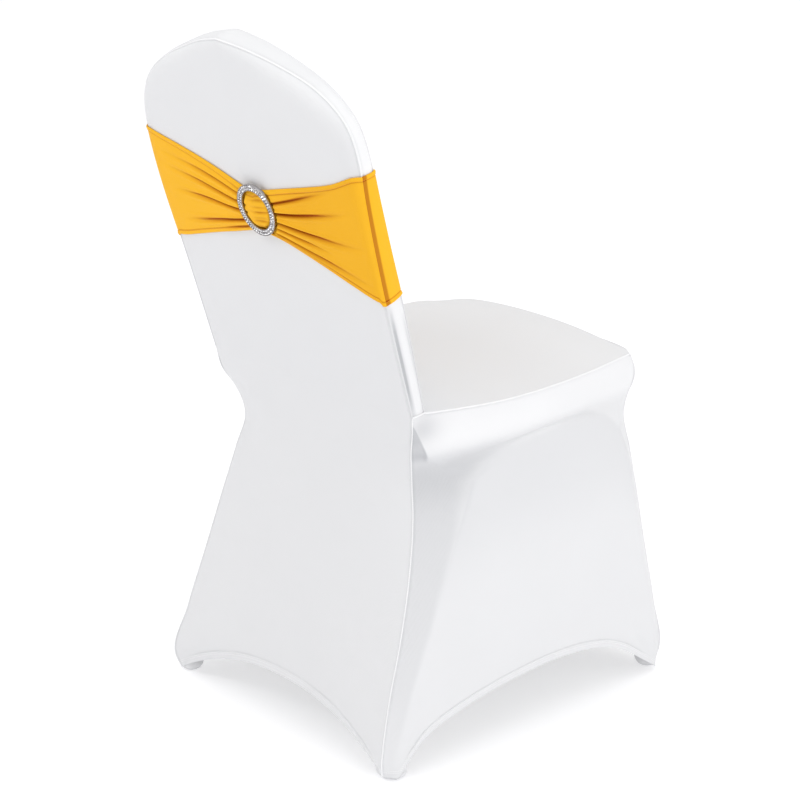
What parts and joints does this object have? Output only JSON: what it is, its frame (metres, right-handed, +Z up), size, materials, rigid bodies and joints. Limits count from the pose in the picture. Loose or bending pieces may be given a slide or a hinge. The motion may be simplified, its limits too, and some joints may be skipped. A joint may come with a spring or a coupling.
{
  "type": "chair cover with sash",
  "caption": "Fitted white stretch cover for a round-backed banquet chair, with arched openings between its feet and a gathered sash held by a ring slider.",
  "frame": {"origin": "centre of the cover's footprint box, on the floor under the four foot pockets", "axes": "+Z up; -Y is the way a sitter faces, so the leaning back is on the +Y side; +X is the sitter's left"},
  "size_m": [0.4626, 0.5931, 0.938],
  "materials": {
    "cover_cloth": "matte knitted stretch cloth, white",
    "sash_cloth": "smooth knitted stretch cloth, golden yellow",
    "slider_metal": "bright plated metal set with small clear stones"
  },
  "bodies": {
    "root": {"rear_panel": "cover_cloth", "front_panel": "cover_cloth", "side_panel_left": "cover_cloth", "side_panel_right": "cover_cloth", "back_gusset": "cover_cloth", "foot_pocket_rear_left": "cover_cloth", "foot_pocket_rear_right": "cover_cloth", "foot_pocket_front_left": "cover_cloth", "foot_pocket_front_right": "cover_cloth", "sash_band": "sash_cloth", "ring_slider": "slider_metal"}
  },
  "joints": []
}
